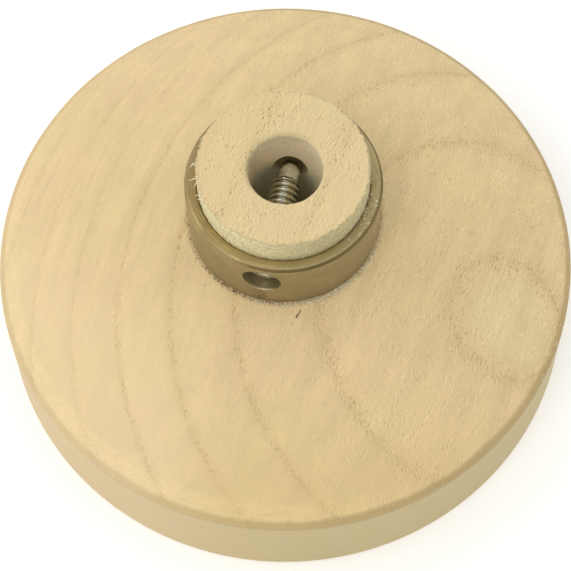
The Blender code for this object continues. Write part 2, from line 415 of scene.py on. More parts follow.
def collar_mesh():
    """The brass ring: a flat top land, a chamfer, handling dents and a drilled hole."""
    dent = SmoothNoise(31)
    r0, r1, z0, z1 = COLLAR_BORE, COLLAR_RADIUS, COLLAR_FOOT, COLLAR_TOP
    c = COLLAR_CHAMFER
    profile = [(r0, z) for z in np.linspace(z0 + 0.25, z1 - 0.3, 12)]
    profile += [(r0 + 0.07, z1 - 0.12), (r0 + 0.25, z1 - 0.05), (r0 + 0.6, z1 - 0.03)]
    profile += [(r0 + 1.1, z1 - 0.02), (r1 - c - 0.35, z1 - 0.02), (r1 - c - 0.12, z1 - 0.04)]
    profile += [(r1 - c, z1 - 0.08), (r1 - c + 0.1, z1 - 0.15)]
    profile += [(r1 - c * 0.5, z1 - c * 0.56), (r1 - 0.12, z1 - c + 0.05), (r1 - 0.03, z1 - c - 0.07)]
    profile += [(r1, z) for z in np.linspace(z1 - c - 0.2, z0 + 0.45, 26)]
    profile += [(r1 - 0.03, z0 + 0.2), (r1 - 0.12, z0 + 0.06), (r1 - 0.3, z0), (r0 + 0.3, z0)]
    profile = np.array(profile)
    points = lathe(profile, COLLAR_SEGMENTS)
    turn = np.arctan2(points[..., 1], points[..., 0])
    radius = np.hypot(points[..., 0], points[..., 1])
    z = points[..., 2]
    skin = smoothstep(r1 - 1.0, r1 - 0.2, radius)
    near_top = smoothstep(z1 - c - 0.7, z1 - c, z) * smoothstep(z1 + 0.2, z1 - 0.3, z)
    knocks = 0.05 * near_top * np.maximum(dent(turn * 14, z, 3.0), 0)
    pressed = 0.012 * (1 + dent(turn * 5, z / 3.0, 0.5)) + knocks
    points[..., :2] *= ((radius - skin * pressed) / radius)[..., None]
    ring = outward(mesh_from("ring", points, ring_faces(len(profile), COLLAR_SEGMENTS, closed=True)))
    hole = [
        (COLLAR_HOLE, -r1 + 6.0),
        (COLLAR_HOLE, -r1 + 1.0),
        (COLLAR_HOLE, -r1 + 0.45),
        (COLLAR_HOLE + 0.05, -r1 + 0.20),
        (COLLAR_HOLE + 0.15, -r1 + 0.02),
        (COLLAR_HOLE + 0.62, -r1 - 0.6),
    ]
    verts, faces = capped(lathe(hole, HOLE_SEGMENTS))
    return cut(ring, [outward(mesh_from("hole", along_screw(verts), faces))])


def screw_mesh():
    """The set screw: rounded dog point, thread running out at both ends, and a hexagon socket."""
    thread_start = SCREW_TIP - DOG_LENGTH
    outer_end = SCREW_TIP - SCREW_LENGTH
    edge = [
        (DOG_RADIUS - DOG_EDGE * (1 - math.sin(a)), SCREW_TIP - DOG_EDGE * (1 - math.cos(a)))
        for a in np.linspace(0.12, math.pi / 2, 8)
    ]
    shank = [(DOG_RADIUS, z) for z in np.linspace(SCREW_TIP - DOG_EDGE - 0.3, thread_start + 0.12, 8)]
    nose = np.array(edge + shank)
    turn = np.arange(SCREW_SEGMENTS) / SCREW_SEGMENTS * TAU
    along = np.arange(thread_start, outer_end + 0.02, -PITCH / 20)
    phase = (along[:, None] / PITCH - turn / TAU) % 1
    flank = np.abs(phase - 0.5) * 2
    crest_end, root_start = 0.14, 0.80
    height = np.clip((root_start - flank) / (root_start - crest_end), 0, 1)
    height = 0.35 * smoothstep(0, 1, height) + 0.65 * height
    radius = SCREW_ROOT + (SCREW_RADIUS - SCREW_ROOT) * height
    in_cone = DOG_RADIUS + 0.12 + 0.95 * (thread_start - along)
    out_cone = SCREW_RADIUS - 0.62 + 0.95 * (along - outer_end)
    radius = np.minimum(radius, np.minimum(in_cone, out_cone)[:, None])
    threaded = stacked_rings(radius, along, turn)
    verts, faces = capped(np.concatenate([lathe(nose, SCREW_SEGMENTS), threaded]))
    screw = outward(mesh_from("screw", along_screw(verts), faces))
    corner = SOCKET_FLATS / math.sqrt(3)
    mouth = outer_end - 0.5
    hexagon = np.array(
        [
            [(k * math.cos(a), k * math.sin(a), z) for a in np.arange(6) / 6 * TAU]
            for k, z in (
                (corner + 0.62, mouth),
                (corner + 0.12, outer_end),
                (corner, outer_end + 0.22),
                (corner, outer_end + SOCKET_DEPTH),
            )
        ]
    )
    verts, faces = capped(hexagon)
    verts[-1, 2] += 0.5
    return cut(screw, [outward(mesh_from("socket", along_screw(verts), faces))])


# ---------------------------------------------------------------- small loose bits


def fibre(path, start_width, end_width):
    """(points, faces) of one tapering sliver with five sides along a path."""
    path = [Vector(p) for p in path]
    count = len(path)
    points = []
    for i, p in enumerate(path):
        ahead = (path[min(i + 1, count - 1)] - path[max(i - 1, 0)]).normalized()
        side = ahead.cross(Vector((0.13, 0.21, 0.97))).normalized()
        up = side.cross(ahead)
        width = start_width + (end_width - start_width) * i / (count - 1)
        for a in np.arange(5) / 5 * TAU:
            points.append(p + side * (width * math.cos(a)) + up * (width * 0.5 * math.sin(a)))
    return capped(np.array(points).reshape(count, 5, 3))


def crumb(centre, size, rng):
    """(points, faces) of one small chip: an octahedron pulled out of shape."""
    base = np.array([(1, 0, 0), (0, 1, 0), (-1, 0, 0), (0, -1, 0), (0, 0, 1), (0, 0, -1)], float)
    base *= size * rng.uniform(0.45, 1.0, (6, 1))
    base += rng.uniform(-0.15, 0.15, (6, 3)) * size
    turn = np.array(Matrix.Rotation(rng.uniform(0, TAU), 3, "Z")) @ np.array(
        Matrix.Rotation(rng.uniform(-0.5, 0.5), 3, "X")
    )
    faces = [(0, 1, 4), (1, 2, 4), (2, 3, 4), (3, 0, 4), (1, 0, 5), (2, 1, 5), (3, 2, 5), (0, 3, 5)]
    return base @ turn.T + np.array(centre), faces


def gather(name, bits, material):
    """One object of many small closed bits."""
    verts, faces, start = [], [], 0
    for points, tris in bits:
        verts.append(points)
        faces += [tuple(start + i for i in f) for f in tris]
        start += len(points)
    return add_object(name, outward(mesh_from(name, np.concatenate(verts), faces)), material, 180)


def ring_point(radius, degrees, z):
    """A point at a radius and an angle from +X."""
    a = math.radians(degrees)
    return Vector((radius * math.cos(a), radius * math.sin(a), z))


def torn_fibres(rng):
    """Slivers torn up at the hub's edge, most on its -X side, and a few at the mouth of the bore."""
    bits = []
    top = HUB_TOP - 0.16
    for _ in range(170):
        degrees = rng.normal(188, 40)
        reach = rng.uniform(0.2, 0.6)
        lean = rng.uniform(-0.5, 0.5)
        root = ring_point(HUB_RADIUS - 0.4, degrees, top - rng.uniform(0.0, 0.6))
        out = ring_point(1, degrees, 0)
        across = ring_point(1, degrees + 90, 0)
        tip = root + out * reach + across * (reach * lean) - Vector((0, 0, rng.uniform(0.05, 0.4)))
        mid = (root + tip) / 2 + Vector((0, 0, 0.05))
        bits.append(fibre([root, mid, tip], rng.uniform(0.05, 0.11), 0.02))
    long_ones = (
        (176.0, 1.4, 0.75, 0.19),
        (178.5, 1.1, -0.5, 0.15),
        (188.0, 1.9, 0.05, 0.17),
        (190.5, 1.1, 0.9, 0.14),
        (200.0, 1.5, -0.1, 0.18),
        (204.5, 1.3, -0.6, 0.15),
        (158.0, 0.8, 0.4, 0.08),
        (38.0, 0.7, 0.5, 0.07),
        (52.0, 0.6, -0.5, 0.07),
    )
    for degrees, length, lean, width in long_ones:
        out = ring_point(1, degrees, 0)
        across = ring_point(1, degrees + 90, 0)
        root = ring_point(HUB_RADIUS - 0.5, degrees, top)
        bend = root + out * (length * 0.55) + across * (length * lean * 0.3) + Vector((0, 0, 0.05))
        tip = root + out * length + across * (length * lean) - Vector((0, 0, 0.15 * length))
        bits.append(fibre([root, (root + bend) / 2 + Vector((0, 0, 0.06)), bend, tip], width, 0.05))
    at_the_bore = ((127, 1.1, 0.13), (131, 0.9, 0.10), (20, 0.5, 0.05), (330, 0.5, 0.05))
    for degrees, length, width in at_the_bore:
        root = ring_point(BORE_RADIUS + 1.2, degrees, HUB_TOP - 0.22)
        root += Vector((*BORE_OFFSET, 0))
        tip = root - ring_point(length * 0.4, degrees, 0) + ring_point(length, degrees - 60, 0)
        tip.z = HUB_TOP - 0.14
        bits.append(fibre([root, (root + tip) / 2 + Vector((0, 0, 0.06)), tip], width, 0.03))
    return bits


def base_fuzz(rng):
    """Short fibres and dust along the foot of the collar, lifted when the ring was pressed on."""
    bits = []
    for k in range(900):
        degrees = rng.uniform(150, 400) if k % 3 == 0 else rng.normal(298, 24)
        r = COLLAR_RADIUS + 0.25 + abs(rng.normal(0, 0.45))
        root = ring_point(r, degrees, dome_z(r) - 0.03)
        heading = rng.uniform(0, TAU)
        length = rng.uniform(0.25, 0.75)
        flat = Vector((math.cos(heading), math.sin(heading), rng.uniform(0.2, 0.9)))
        tip = root + flat * length
        tip.z = max(tip.z, dome_z(math.hypot(tip.x, tip.y)) + 0.03)
        mid = (root + tip) / 2 + Vector((0, 0, 0.05))
        bits.append(fibre([root, mid, tip], rng.uniform(0.05, 0.11), 0.03))
    return bits


def foot_dirt(rng):
    """Dark specks where the collar meets the back, a burr under the collar's hole, and a dark curl."""
    bits = []
    for k in range(150):
        degrees = rng.normal(236, 18) if k % 6 else rng.uniform(170, 370)
        r = COLLAR_RADIUS + abs(rng.normal(0.0, 0.30)) + 0.05
        bits.append(crumb(ring_point(r, degrees, dome_z(r) + 0.03), rng.uniform(0.06, 0.22), rng))
    for _ in range(48):
        degrees = rng.normal(255, 2.4)
        z = COLLAR_FOOT + rng.uniform(0.4, 4.8)
        centre = ring_point(COLLAR_RADIUS + 0.02, degrees, z)
        bits.append(crumb(centre, rng.uniform(0.08, 0.26), rng))
    curl = ((2.0, -22.9), (2.3, -22.3), (2.7, -21.9), (2.9, -21.2))
    bits.append(fibre([(x, y, dome_z(math.hypot(x, y)) + 0.12) for x, y in curl], 0.15, 0.08))
    return bits


def sawdust(rng):
    """Grains caught on the collar's top, most of them on its +X side."""
    bits = []
    top = COLLAR_TOP
    for k in range(150):
        degrees = rng.normal(-24, 15) if k % 5 else rng.uniform(180, 350)
        size = rng.uniform(0.11, 0.34) if k % 5 else rng.uniform(0.05, 0.12)
        r = rng.uniform(COLLAR_BORE + 0.1, COLLAR_RADIUS - COLLAR_CHAMFER)
        centre = ring_point(r, degrees, top - 0.10 + size * 0.45)
        bits.append(crumb(centre, size, rng))
    for _ in range(60):
        degrees = rng.normal(-18, 14)
        r = rng.uniform(COLLAR_BORE - 0.25, COLLAR_BORE + 0.2)
        centre = ring_point(r, degrees, top - rng.uniform(-0.15, 0.2))
        bits.append(crumb(centre, rng.uniform(0.10, 0.26), rng))
    return bits


def face_crumbs(rng):
    """A few crumbs and short shavings lying on the domed back."""
    bits = []
    spots = ((-2.3, -27.3, 0.5, 80), (-16.5, -15.3, 0.5, 20), (1.2, -24.0, 0.4, 50))
    for x, y, length, heading in spots:
        z = dome_z(math.hypot(x, y)) + 0.06
        a = math.radians(heading)
        step = Vector((math.cos(a), math.sin(a), 0)) * length / 2
        middle = Vector((x, y, z))
        bits.append(fibre([middle - step, middle + Vector((0, 0, 0.16)), middle + step], 0.11, 0.07))
    for _ in range(70):
        x, y = rng.uniform(-52, 52, 2)
        r = math.hypot(x, y)
        if not 24 < r < 60:
            continue
        bits.append(crumb((x, y, dome_z(r)), rng.uniform(0.05, 0.13), rng))
    return bits


# ---------------------------------------------------------------- materials


class Paint:
    """A material's node tree, with short names for the nodes used here."""

    def __init__(self, name):
        self.material = bpy.data.materials.new(name)
        self.material.use_nodes = True
        self.tree = self.material.node_tree
        self.shader = self.tree.nodes["Principled BSDF"]
        coordinates = self.tree.nodes.new("ShaderNodeTexCoord")
        self.place = self.scaled(coordinates.outputs["Object"], (1000, 1000, 1000))
        split = self.tree.nodes.new("ShaderNodeSeparateXYZ")
        self.tree.links.new(self.place, split.inputs[0])
        self.x, self.y, self.z = split.outputs
        self.r = self.length(self.x, self.y)

    def feed(self, socket, value):
        if isinstance(value, bpy.types.NodeSocket):
            self.tree.links.new(value, socket)
        else:
            socket.default_value = value

    def math(self, operation, a, b=0.0, c=0.0):
        node = self.tree.nodes.new("ShaderNodeMath")
        node.operation = operation
        for socket, value in zip(node.inputs, (a, b, c)):
            self.feed(socket, value)
        return node.outputs[0]

    def add(self, a, b):
        return self.math("ADD", a, b)

    def times(self, a, b):
        return self.math("MULTIPLY", a, b)

    def length(self, a, b):
        return self.math("SQRT", self.add(self.times(a, a), self.times(b, b)))

    def scaled(self, vector, scale, turn=0.0):
        """A vector turned about Z, then scaled."""
        if turn:
            node = self.tree.nodes.new("ShaderNodeVectorRotate")
            node.rotation_type = "Z_AXIS"
            self.feed(node.inputs["Vector"], vector)
            node.inputs["Angle"].default_value = turn
            vector = node.outputs[0]
        node = self.tree.nodes.new("ShaderNodeVectorMath")
        node.operation = "MULTIPLY"
        self.feed(node.inputs[0], vector)
        node.inputs[1].default_value = scale
        return node.outputs[0]

    def blobs(self, size):
        """Positions in units of a size, the same in all directions."""
        return self.scaled(self.place, (1 / size,) * 3)

    def moved(self, vector, offset):
        node = self.tree.nodes.new("ShaderNodeVectorMath")
        node.operation = "ADD"
        self.feed(node.inputs[0], vector)
        node.inputs[1].default_value = offset
        return node.outputs[0]

    def noise(self, vector, detail=2.0, roughness=0.5):
        node = self.tree.nodes.new("ShaderNodeTexNoise")
        self.feed(node.inputs["Vector"], vector)
        node.inputs["Scale"].default_value = 1.0
        node.inputs["Detail"].default_value = detail
        node.inputs["Roughness"].default_value = roughness
        return node.outputs["Fac"]

    def cells(self, vector):
        """(distance to the cell's point, random number of the cell)."""
        node = self.tree.nodes.new("ShaderNodeTexVoronoi")
        self.feed(node.inputs["Vector"], vector)
        node.inputs["Scale"].default_value = 1.0
        split = self.tree.nodes.new("ShaderNodeSeparateColor")
        self.tree.links.new(node.outputs["Color"], split.inputs[0])
        return node.outputs["Distance"], split.outputs[0]

    def ramp(self, value, low, high, at_low=0.0, at_high=1.0):
        """A soft change from one number to another as a value goes from low to high."""
        node = self.tree.nodes.new("ShaderNodeMapRange")
        node.interpolation_type = "SMOOTHSTEP"
        self.feed(node.inputs["Value"], value)
        limits = {"From Min": low, "From Max": high, "To Min": at_low, "To Max": at_high}
        for name, number in limits.items():
            node.inputs[name].default_value = number
        return node.outputs[0]

    def band(self, value, low, high, soft):
        """1 between low and high, fading to 0 outside them."""
        rise = self.ramp(value, low - soft, low)
        return self.times(rise, self.ramp(value, high, high + soft, 1.0, 0.0))

    def mix(self, amount, a, b):
        """Colour a, going over to colour b as the amount rises to 1."""
        node = self.tree.nodes.new("ShaderNodeMix")
        node.data_type = "RGBA"
        self.feed(node.inputs[0], amount)
        for socket, value in ((node.inputs[6], a), (node.inputs[7], b)):
            self.feed(socket, (*value, 1.0) if isinstance(value, tuple) else value)
        return node.outputs[2]

    def brighten(self, colour, factor):
        """A colour times a number."""
        node = self.tree.nodes.new("ShaderNodeVectorMath")
        node.operation = "SCALE"
        self.feed(node.inputs[0], colour)
        self.feed(node.inputs["Scale"], factor)
        return node.outputs[0]

    def bump(self, height, distance, strength):
        node = self.tree.nodes.new("ShaderNodeBump")
        self.feed(node.inputs["Height"], height)
        node.inputs["Distance"].default_value = distance
        node.inputs["Strength"].default_value = strength
        return node.outputs[0]

    def from_screw_axis(self):
        """Distance from the axis of the screw and its hole."""
        beside = self.add(self.times(self.x, INWARD.y), self.times(self.y, -INWARD.x))
        above = self.add(self.z, -CROSS_Z)
        return self.length(beside, above)

    def set(self, **values):
        """Feeds the shader's sockets and returns the material."""
        names = {
            "colour": "Base Color",
            "roughness": "Roughness",
            "metallic": "Metallic",
            "normal": "Normal",
            "specular": "Specular IOR Level",
        }
        for key, value in values.items():
            self.feed(self.shader.inputs[names[key]], value)
        return self.material


def growth_layers(p):
    """Number of the growth layer at a point: tilted, warped layers that the dome cuts into curves."""
    xx = p.times(p.x, p.x)
    xy = p.times(p.x, p.y)
    yy = p.times(p.y, p.y)
    cubes = [p.times(square, side) for square in (xx, yy) for side in (p.x, p.y)]
    terms = [(p.z, -1 / LAYER_THICKNESS)]
    terms += zip((p.x, p.y), LAYER_TILT)
    terms += zip((xx, xy, yy), LAYER_WARP_SQUARE)
    terms += zip(cubes, LAYER_WARP_CUBIC)
    field = p.ramp(p.z, SEAT_Z, HUB_TOP, LAYER_AT_AXIS, LAYER_AT_AXIS + HUB_LAYER_SHIFT)
    field = p.add(field, DOME_TOP / LAYER_THICKNESS)
    for term, weight in terms:
        field = p.math("MULTIPLY_ADD", term, weight, field)
    dx = p.add(p.x, -LAYER_HEART[0])
    dy = p.add(p.y, -LAYER_HEART[1])
    away = p.add(p.times(dx, dx), p.times(dy, dy))
    dip = p.math("EXPONENT", p.times(away, -1 / LAYER_DIP_SQUARE))
    return p.math("MULTIPLY_ADD", dip, -LAYER_DIP, field)


def along_grain(p, along, across):
    """Positions in units of a length along the grain and a length across it."""
    return p.scaled(p.place, (1 / along, 1 / across, 1 / across), -GRAIN_ANGLE)


def dashes(p, along, across, offset, share, shift):
    """Short dashes along the grain, in a share of the cells of a stretched pattern."""
    place = p.scaled(p.moved(p.place, shift), (1 / along, 1 / across, 1 / across), -GRAIN_ANGLE)
    distance, number = p.cells(p.moved(place, offset))
    return p.times(p.ramp(distance, 0.10, 0.30, 1.0, 0.0), p.math("LESS_THAN", number, share))


def pores(p, shift):
    """Long and short pores of the grain together."""
    short = dashes(p, 1.45, 0.50, (3.1, 7.7, 1.3), 0.7, shift)
    return p.math("MAXIMUM", short, dashes(p, 2.0, 0.62, (13.1, 2.7, 5.3), 0.6, shift))


def emboss(p, along, across, offset, nudge):
    """Painted light and shade of raised grain lit from one side: a stretched noise less its own copy
    moved by the nudge.
    """
    sides = []
    for shift in (NOWHERE, nudge):
        place = p.scaled(p.moved(p.place, shift), (1 / along, 1 / across, 1 / across), -GRAIN_ANGLE)
        sides.append(p.ramp(p.noise(p.moved(place, offset), 2.0, 0.55), 0.46, 0.66))
    return p.math("SUBTRACT", *sides)


def maple():
    """Turned, sanded wood: pale, with thin brown growth lines and short open pores, and painted light and
    shade on its grain, pores, rim, side, hub wall, bore and cross hole.
    """
    p = Paint("turned_maple")

    # Growth lines, broken up into beads, with a faint zone beside each.
    field = growth_layers(p)
    slow = p.noise(p.blobs(22), 1.0)
    quick = p.noise(along_grain(p, 1.5, 0.7), 3.0, 0.65)
    field = p.math("MULTIPLY_ADD", p.add(slow, -0.5), 0.06, field)
    fuzzy = p.math("MULTIPLY_ADD", p.add(quick, -0.5), 0.24, field)
    from_line = p.math("ABSOLUTE", p.add(p.math("FRACT", p.add(fuzzy, 0.5)), -0.5))
    patchy = p.noise(along_grain(p, 4.0, 2.2), 2.0, 0.6)
    faint = p.ramp(field, 4.4, 5.6, 1.0, 0.35)
    beads = p.noise(along_grain(p, 0.9, 0.4), 2.0, 0.6)
    line = p.times(p.ramp(from_line, 0.008, 0.055, 1.0, 0.0), p.ramp(patchy, 0.34, 0.62, 0.12, 1.0))
    line = p.times(line, p.ramp(beads, 0.44, 0.58, 0.30, 1.0))
    bead = p.times(p.ramp(from_line, 0.022, 0.062, 1.0, 0.0), p.ramp(beads, 0.51, 0.60))
    bead = p.times(p.times(bead, p.ramp(patchy, 0.40, 0.56, 0.15, 1.0)), faint)
    bead = p.times(bead, p.ramp(p.x, 5.0, 35.0, 1.0, 0.55))
    line = p.times(line, faint)
    zone = p.times(p.ramp(from_line, 0.03, 0.16, 1.0, 0.0), faint)
    after = p.math("POWER", p.add(p.times(p.math("FRACT", field), -1.0), 1.0), 2.2)
    heart = p.ramp(field, 0.80, 1.0, 1.0, 0.0)

    # Where the rim, the side, the hub's end and wall, the bore and the cross hole are.
    crumbs = p.noise(p.blobs(0.55), 3.0, 0.7)
    wavy_r = p.math("MULTIPLY_ADD", p.add(patchy, -0.5), 0.8, p.r)
    left_front = p.add(p.x, p.y)
    rim = p.ramp(p.r, DOME_END - 2.0, DOME_END)
    side = p.times(rim, p.ramp(p.z, EDGE_Z - 0.1, EDGE_Z + 1.0, 1.0, 0.0))
    # Painted shade on the rounded edge between the dome and the side, weaker towards -X.
    edge = p.times(p.ramp(p.z, EDGE_Z - 1.0, EDGE_Z + 0.2), p.ramp(wavy_r, DOME_END - 1.1, DOME_END))
    edge = p.times(edge, p.ramp(p.x, -50.0, 30.0, 0.36, 1.0))
    # Painted highlight on the lower-left of the dome, just inside its rounded edge.
    lip_highlight = p.times(p.band(p.r, DOME_END - 3.0, DOME_END - 1.0, 1.2), p.ramp(left_front, -20.0, -75.0))
    shine = p.noise(p.scaled(p.place, (1 / 3.0, 1 / 0.5, 1 / 0.5)), 2.0, 0.6)
    lip_highlight = p.times(lip_highlight, p.ramp(shine, 0.35, 0.65, 0.3, 1.6))
    hub_top = p.times(p.ramp(p.z, HUB_TOP - 0.60, HUB_TOP - 0.30),
                      p.ramp(p.r, HUB_RADIUS - 0.65, HUB_RADIUS - 0.20, 1.0, 0.0))
    hub_wall = p.times(p.ramp(p.z, SEAT_Z + 1.0, SEAT_Z + 2.0),
                       p.ramp(p.r, HUB_RADIUS - 0.85, HUB_RADIUS - 0.45))
    ragged = p.math("MULTIPLY_ADD", p.add(crumbs, -0.5), 1.8, p.z)
    hub_wall = p.times(hub_wall, p.ramp(ragged, HUB_TOP - 0.45, HUB_TOP - 0.15, 1.0, 0.0))
    bore_r = p.length(*(p.add(a, -offset) for a, offset in zip((p.x, p.y), BORE_OFFSET)))
    in_bore = p.times(p.ramp(bore_r, BORE_RADIUS + 1.8, BORE_RADIUS + 1.2),
                      p.ramp(p.z, HUB_TOP - 0.20, HUB_TOP - 0.55))
    worn = p.times(p.ramp(bore_r, BORE_RADIUS + 1.5, BORE_RADIUS + 0.5),
                   p.ramp(p.add(p.y, p.times(p.x, -0.8)), -4.0, 5.0))
    worn = p.times(worn, p.ramp(p.z, HUB_TOP - 2.2, HUB_TOP - 0.9))
    in_hole = p.times(p.ramp(p.from_screw_axis(), CROSS_RADIUS + 0.25, CROSS_RADIUS - 0.02),
                      p.ramp(p.r, HUB_RADIUS + 0.25, HUB_RADIUS - 0.05))
    plain = p.math("MULTIPLY_ADD", side, -0.75, 1.0)

    # Pores and lifted grain, coarser towards +X and on the hub's end, with painted highlights and painted
    # shade beside them as if lit from -X.
    coarse = p.add(p.times(p.x, 0.9), p.times(p.y, 0.25))
    pored = p.times(p.ramp(coarse, -30.0, 16.0, 0.26, 1.0), plain)
    pored = p.math("MAXIMUM", pored, hub_top)
    clumps = p.noise(p.blobs(4), 2.0)
    crowded = p.ramp(clumps, 0.42, 0.62, 0.08, 1.0)
    crowded = p.math("MAXIMUM", crowded, p.times(zone, 1.5))
    nudge = (-0.24, 0.06, 0.0)
    # Dark pores, also standing in as painted shade on each pit's -X side, and the same pores moved by the
    # nudge as a painted highlight on their +X side.
    dark = pores(p, NOWHERE)
    pale = pores(p, nudge)
    raised_shading = emboss(p, 1.0, 0.36, (5.5, 1.2, 9.0), nudge)
    raised_shading = p.times(raised_shading, p.math("MULTIPLY_ADD", pored, 0.078, p.times(hub_top, 0.130)))
    flake_shading = emboss(p, 2.0, 0.80, (2.5, 7.2, 4.0), (-0.42, 0.10, 0.0))
    flaky_shading = p.times(flake_shading, p.ramp(clumps, 0.42, 0.62))
    raised_shading = p.times(raised_shading, p.ramp(clumps, 0.30, 0.70, 0.55, 1.35))
    flaky_shading = p.times(flaky_shading, p.math("MULTIPLY_ADD", hub_top, 1.8, pored))
    raised_shading = p.math("MULTIPLY_ADD", flaky_shading, 0.055, raised_shading)
    present = p.times(crowded, pored)
    dark = p.times(dark, present)
    pale = p.times(pale, present)
    rare = p.noise(p.moved(along_grain(p, 1.0, 0.5), (1.9, 5.2, 8.8)), 1.0)
    rare = p.times(p.ramp(rare, 0.74, 0.80), plain)
    grain = p.noise(along_grain(p, 1.1, 0.30), 2.0, 0.6)
    streak = p.noise(along_grain(p, 6.0, 0.6), 2.0, 0.6)
    mottle = p.noise(p.blobs(7), 3.0, 0.55)
    blotch = p.noise(p.moved(p.blobs(24), (4.2, 9.1, 2.0)), 2.0)

    # Colour of the plain wood, then of the lines, then of each part of the surface.
    colour = p.mix(p.ramp(blotch, 0.38, 0.62), (0.800, 0.600, 0.325), (0.780, 0.605, 0.312))
    colour = p.mix(p.times(heart, 0.5), colour, (0.750, 0.630, 0.350))
    colour = p.brighten(colour, p.math("MULTIPLY_ADD", after, -0.05, 1.02))
    flecks = p.noise(p.moved(p.scaled(p.place, (1 / 0.7, 1 / 0.4, 1 / 0.4), 0.3), (6.1, 2.2, 3.8)), 1.0)
    flecks = p.times(p.ramp(flecks, 0.70, 0.78), plain)
    colour = p.mix(p.times(flecks, 0.55), colour, (0.960, 0.800, 0.520))
    colour = p.brighten(colour, p.ramp(mottle, 0.3, 0.7, 0.975, 1.02))
    colour = p.brighten(colour, p.ramp(streak, 0.3, 0.7, 0.975, 1.020))
    bands = p.noise(p.moved(along_grain(p, 34, 4.0), (3.3, 8.1, 0.4)), 2.0, 0.6)
    colour = p.brighten(colour, p.ramp(bands, 0.32, 0.68, 0.955, 1.035))
    colour = p.brighten(colour, p.ramp(grain, 0.3, 0.7, 0.980, 1.018))
    # Painted light and shade of the lifted grain and flakes.
    colour = p.brighten(colour, p.add(raised_shading, 1.0))
    # Painted highlight along the lower-left rim.
    colour = p.brighten(colour, p.math("MULTIPLY_ADD", lip_highlight, 0.10, 1.0))
    # Painted light: the lower-left of the dome made lighter, as if lit from -X.
    lower_left_light = p.times(p.ramp(left_front, -35.0, -70.0), p.ramp(p.x, -8.0, -28.0))
    colour = p.mix(p.times(lower_left_light, 0.45), colour, (0.870, 0.680, 0.400))
    colour = p.mix(p.times(p.times(line, plain), 0.34), colour, (0.600, 0.405, 0.180))
    colour = p.mix(p.times(p.times(zone, plain), 0.16), colour, (0.640, 0.450, 0.210))
    colour = p.mix(p.times(p.times(bead, plain), 0.56), colour, (0.480, 0.325, 0.140))
    # Painted shade: the dome darker and more saturated towards -Y, away from the far left.
    lower_shade = p.times(p.ramp(p.y, -32.0, -60.0), p.ramp(p.x, -32.0, -12.0))
    colour = p.mix(p.times(lower_shade, 0.45), colour, (0.730, 0.535, 0.235))
    colour = p.mix(p.times(hub_top, 0.5), colour, (0.815, 0.635, 0.345))
    # The hub wall's tone, with painted shade darkening it towards +X.
    wall_tone_shaded_right = p.mix(p.ramp(p.x, -10.0, 8.0), (0.730, 0.650, 0.375), (0.540, 0.470, 0.255))
    colour = p.mix(p.times(hub_wall, 0.85), colour, wall_tone_shaded_right)
    grainy = p.times(hub_wall, p.add(crumbs, -0.5))
    colour = p.brighten(colour, p.math("MULTIPLY_ADD", grainy, 1.5, 1.0))
    pits = p.times(hub_wall, p.ramp(crumbs, 0.38, 0.30))
    colour = p.mix(p.times(pits, 0.5), colour, (0.420, 0.330, 0.170))
    deep = p.ramp(p.z, CROSS_Z + 4.0, CROSS_Z - 3.0)
    # Painted shade on the -X side of the bore, then a paler, greyer tone deeper down and scraped patches.
    bore_tone_and_shade = p.mix(p.ramp(p.x, -7.5, -3.0), (0.570, 0.475, 0.315), (0.885, 0.745, 0.550))
    bore_tone_and_shade = p.mix(deep, bore_tone_and_shade, (0.880, 0.870, 0.680))
    scrape = p.noise(p.scaled(p.place, (1 / 1.9, 1 / 1.9, 1 / 0.9)), 4.0, 0.70)
    bore_tone_and_shade = p.mix(p.ramp(scrape, 0.48, 0.62, 0.0, 0.8), bore_tone_and_shade, (0.740, 0.680, 0.400))
    colour = p.mix(p.times(in_bore, 0.9), colour, bore_tone_and_shade)
    scraped = p.times(in_bore, p.add(scrape, -0.5))
    colour = p.brighten(colour, p.math("MULTIPLY_ADD", scraped, 0.7, 1.0))
    grime = p.times(in_bore, p.ramp(crumbs, 0.61, 0.68))
    colour = p.mix(p.times(grime, 0.5), colour, (0.300, 0.230, 0.130))
    # The side's tone, with painted shade darkening it towards +X.
    side_tone_shaded_right = p.mix(p.ramp(p.x, -45.0, 10.0), (0.650, 0.500, 0.280), (0.545, 0.445, 0.228))
    colour = p.mix(p.times(side, 0.86), colour, side_tone_shaded_right)
    # Painted shade on the rounded edge of the rim.
    colour = p.mix(p.times(edge, 0.78), colour, (0.450, 0.325, 0.145))
    colour = p.mix(p.times(worn, 0.50), colour, (0.560, 0.470, 0.250))
    strength = p.math("MULTIPLY_ADD", hub_top, 0.16, 0.44)
    # Painted highlight beside each pore, then the dark pores, partly painted shade.
    colour = p.mix(p.times(pale, 0.35), colour, (0.960, 0.820, 0.540))
    colour = p.mix(p.times(dark, strength), colour, (0.440, 0.285, 0.110))
    colour = p.mix(p.times(rare, 0.30), colour, (0.330, 0.220, 0.100))
    # Painted shade inside the cross hole, darkest towards -Y.
    hole_shade_tone = p.mix(p.ramp(p.y, 0.0, 5.0), (0.230, 0.185, 0.115), (0.450, 0.375, 0.180))
    colour = p.mix(p.times(in_hole, 0.85), colour, hole_shade_tone)

    height = p.math("MULTIPLY_ADD", dark, -0.35, p.times(grain, 0.30))
    height = p.add(height, p.times(p.times(hub_top, grain), 0.8))
    height = p.add(height, p.times(p.times(hub_wall, crumbs), 2.0))
    normal = p.bump(height, 0.00012, 0.9)
    rough = p.ramp(mottle, 0.25, 0.75, 0.52, 0.64)
    rough = p.add(rough, p.times(hub_top, 0.25))
    return p.set(colour=colour, roughness=rough, normal=normal, specular=0.30)


